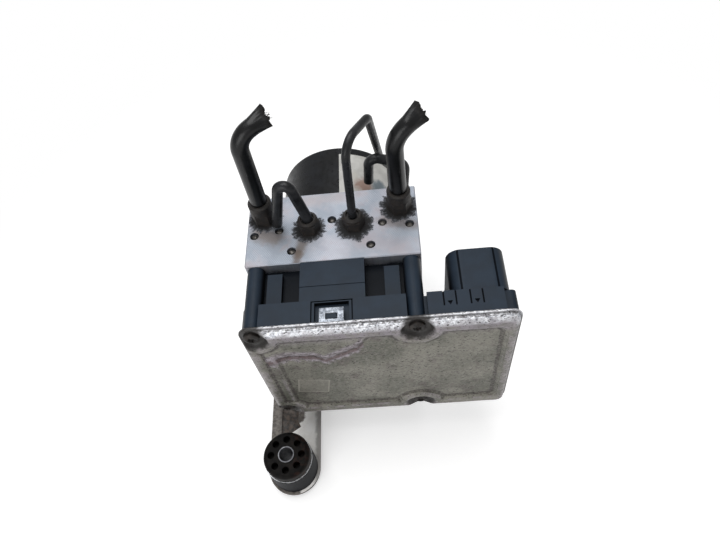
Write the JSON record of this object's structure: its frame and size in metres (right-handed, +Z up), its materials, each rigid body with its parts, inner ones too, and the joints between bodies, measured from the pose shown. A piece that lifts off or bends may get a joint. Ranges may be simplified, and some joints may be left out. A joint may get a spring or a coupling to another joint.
{
  "type": "anti-lock brake hydraulic unit",
  "caption": "Anti-lock brake module: aluminium valve block, pump motor behind, sealed control unit in front, cut brake pipes on top, bracket with rubber bushes",
  "frame": {"origin": "on the front bush's axis, in the plane of the three bushes' lower faces", "axes": "+Z up, +Y towards the pump motor, +X towards the connector side; the control unit's cover faces -Y"},
  "size_m": [0.1619, 0.2013, 0.2236],
  "materials": {
    "machined_aluminium": "milled, lightly oxidised",
    "plug_steel": "pressed balls, dulled",
    "housing_plastic": "moulded, black with a soft sheen",
    "cover_alloy": "die cast, weathered and dusty",
    "screw_steel": "rusted",
    "seal_rubber": "moulded",
    "board_laminate": "green solder mask",
    "chip_resin": "moulded resin",
    "contact_brass": "plated",
    "valve_steel": "turned",
    "spring_steel": "drawn wire",
    "yoke_steel": "zinc plated",
    "enamelled_copper": "wound wire",
    "ground_steel": "ground",
    "cap_aluminium": "turned",
    "plate_steel": "zinc plated",
    "can_paint": "black coating",
    "magnet_ferrite": "sintered",
    "core_steel": "stacked laminations",
    "brush_carbon": "pressed carbon",
    "lead_insulation": "moulded",
    "label_paper": "printed white, stained",
    "nut_steel": "rusted",
    "pipe_coating": "dull coated steel",
    "sleeve_rubber": "glossy extruded sleeve",
    "bracket_steel": "dusty, with rust showing through",
    "bush_rubber": "moulded",
    "bright_steel": "plated"
  },
  "bodies": {
    "unit": {"hydraulic_block": "machined_aluminium", "channel_plugs": "plug_steel", "ecu_housing": "housing_plastic", "ecu_cover": "cover_alloy", "ecu_screws": "screw_steel", "cover_seal": "seal_rubber", "chamber_seal": "seal_rubber", "motor_seal": "seal_rubber", "circuit_board": "board_laminate", "board_chips": "chip_resin", "connector_pins": "contact_brass", "valve_bodies": "valve_steel", "valve_springs": "spring_steel", "pump_spring_left": "spring_steel", "pump_spring_right": "spring_steel", "accumulator_spring_left": "spring_steel", "accumulator_spring_right": "spring_steel", "brush_springs": "spring_steel", "coil_yokes": "yoke_steel", "coil_windings": "enamelled_copper", "lead_wires": "enamelled_copper", "motor_bearings": "ground_steel", "pump_caps": "cap_aluminium", "accumulator_caps": "cap_aluminium", "motor_end_plate": "plate_steel", "motor_screws": "plate_steel", "motor_can": "can_paint", "motor_magnets": "magnet_ferrite", "motor_brushes": "brush_carbon", "lead_insulator": "lead_insulation", "motor_label": "label_paper", "flare_nuts": "nut_steel", "short_pipe": "pipe_coating", "tall_pipe": "pipe_coating", "rear_pipe": "pipe_coating", "sleeved_pipes": "pipe_coating", "pipe_sleeves": "sleeve_rubber", "mounting_bracket": "bracket_steel", "bush_rubbers": "bush_rubber", "bush_rings": "bright_steel", "bush_sleeves": "bright_steel", "bracket_screws": "bright_steel"},
    "rotor": {"rotor_shaft": "ground_steel", "rotor_core": "core_steel", "rotor_winding": "enamelled_copper", "commutator": "contact_brass"},
    "eccentric_ring": {"eccentric_ring": "ground_steel"},
    "pump_piston_left": {"pump_piston_left": "ground_steel"},
    "accumulator_piston_left": {"accumulator_piston_left": "cap_aluminium"},
    "pump_piston_right": {"pump_piston_right": "ground_steel"},
    "accumulator_piston_right": {"accumulator_piston_right": "cap_aluminium"},
    "valve_armature_1": {"valve_armature_1": "valve_steel"},
    "valve_armature_2": {"valve_armature_2": "valve_steel"},
    "valve_armature_3": {"valve_armature_3": "valve_steel"},
    "valve_armature_4": {"valve_armature_4": "valve_steel"},
    "valve_armature_5": {"valve_armature_5": "valve_steel"},
    "valve_armature_6": {"valve_armature_6": "valve_steel"},
    "valve_armature_7": {"valve_armature_7": "valve_steel"},
    "valve_armature_8": {"valve_armature_8": "valve_steel"}
  },
  "joints": [
    {"name": "rotor_spin", "type": "hinge", "parent": "unit", "child": "rotor", "pos_m": [0.0455, 0.1085, 0.094], "axis": [0, 1, 0], "continuous": true},
    {"name": "eccentric_ring_spin", "type": "hinge", "parent": "rotor", "child": "eccentric_ring", "pos_m": [0.0455, 0.1085, 0.0947], "axis": [0, 1, 0], "continuous": true},
    {"name": "pump_piston_left_slide", "type": "slide", "parent": "unit", "child": "pump_piston_left", "axis": [-1, 0, 0], "range_m": [0, 0.0014], "stiffness_N_per_m": 800, "springref_m": -0.004, "deforming": ["pump_spring_left"]},
    {"name": "pump_piston_right_slide", "type": "slide", "parent": "unit", "child": "pump_piston_right", "axis": [1, 0, 0], "range_m": [0, 0.0014], "stiffness_N_per_m": 800, "springref_m": -0.004, "deforming": ["pump_spring_right"]},
    {"name": "accumulator_piston_left_slide", "type": "slide", "parent": "unit", "child": "accumulator_piston_left", "axis": [0, 0, -1], "range_m": [0, 0.008], "stiffness_N_per_m": 600, "springref_m": -0.01, "deforming": ["accumulator_spring_left"]},
    {"name": "accumulator_piston_right_slide", "type": "slide", "parent": "unit", "child": "accumulator_piston_right", "axis": [0, 0, -1], "range_m": [0, 0.008], "stiffness_N_per_m": 600, "springref_m": -0.01, "deforming": ["accumulator_spring_right"]},
    {"name": "valve_armature_1_slide", "type": "slide", "parent": "unit", "child": "valve_armature_1", "axis": [0, 1, 0], "range_m": [0, 0.0004], "stiffness_N_per_m": 300, "springref_m": -0.001},
    {"name": "valve_armature_2_slide", "type": "slide", "parent": "unit", "child": "valve_armature_2", "axis": [0, 1, 0], "range_m": [0, 0.0004], "stiffness_N_per_m": 300, "springref_m": -0.001},
    {"name": "valve_armature_3_slide", "type": "slide", "parent": "unit", "child": "valve_armature_3", "axis": [0, 1, 0], "range_m": [0, 0.0004], "stiffness_N_per_m": 300, "springref_m": -0.001},
    {"name": "valve_armature_4_slide", "type": "slide", "parent": "unit", "child": "valve_armature_4", "axis": [0, 1, 0], "range_m": [0, 0.0004], "stiffness_N_per_m": 300, "springref_m": -0.001},
    {"name": "valve_armature_5_slide", "type": "slide", "parent": "unit", "child": "valve_armature_5", "axis": [0, -1, 0], "range_m": [0, 0.0004], "stiffness_N_per_m": 300, "springref_m": -0.001},
    {"name": "valve_armature_6_slide", "type": "slide", "parent": "unit", "child": "valve_armature_6", "axis": [0, -1, 0], "range_m": [0, 0.0004], "stiffness_N_per_m": 300, "springref_m": -0.001},
    {"name": "valve_armature_7_slide", "type": "slide", "parent": "unit", "child": "valve_armature_7", "axis": [0, -1, 0], "range_m": [0, 0.0004], "stiffness_N_per_m": 300, "springref_m": -0.001},
    {"name": "valve_armature_8_slide", "type": "slide", "parent": "unit", "child": "valve_armature_8", "axis": [0, -1, 0], "range_m": [0, 0.0004], "stiffness_N_per_m": 300, "springref_m": -0.001}
  ],
  "couplings": [
    {"joint": "eccentric_ring_spin", "follows": "rotor_spin", "ratio": -1}
  ]
}
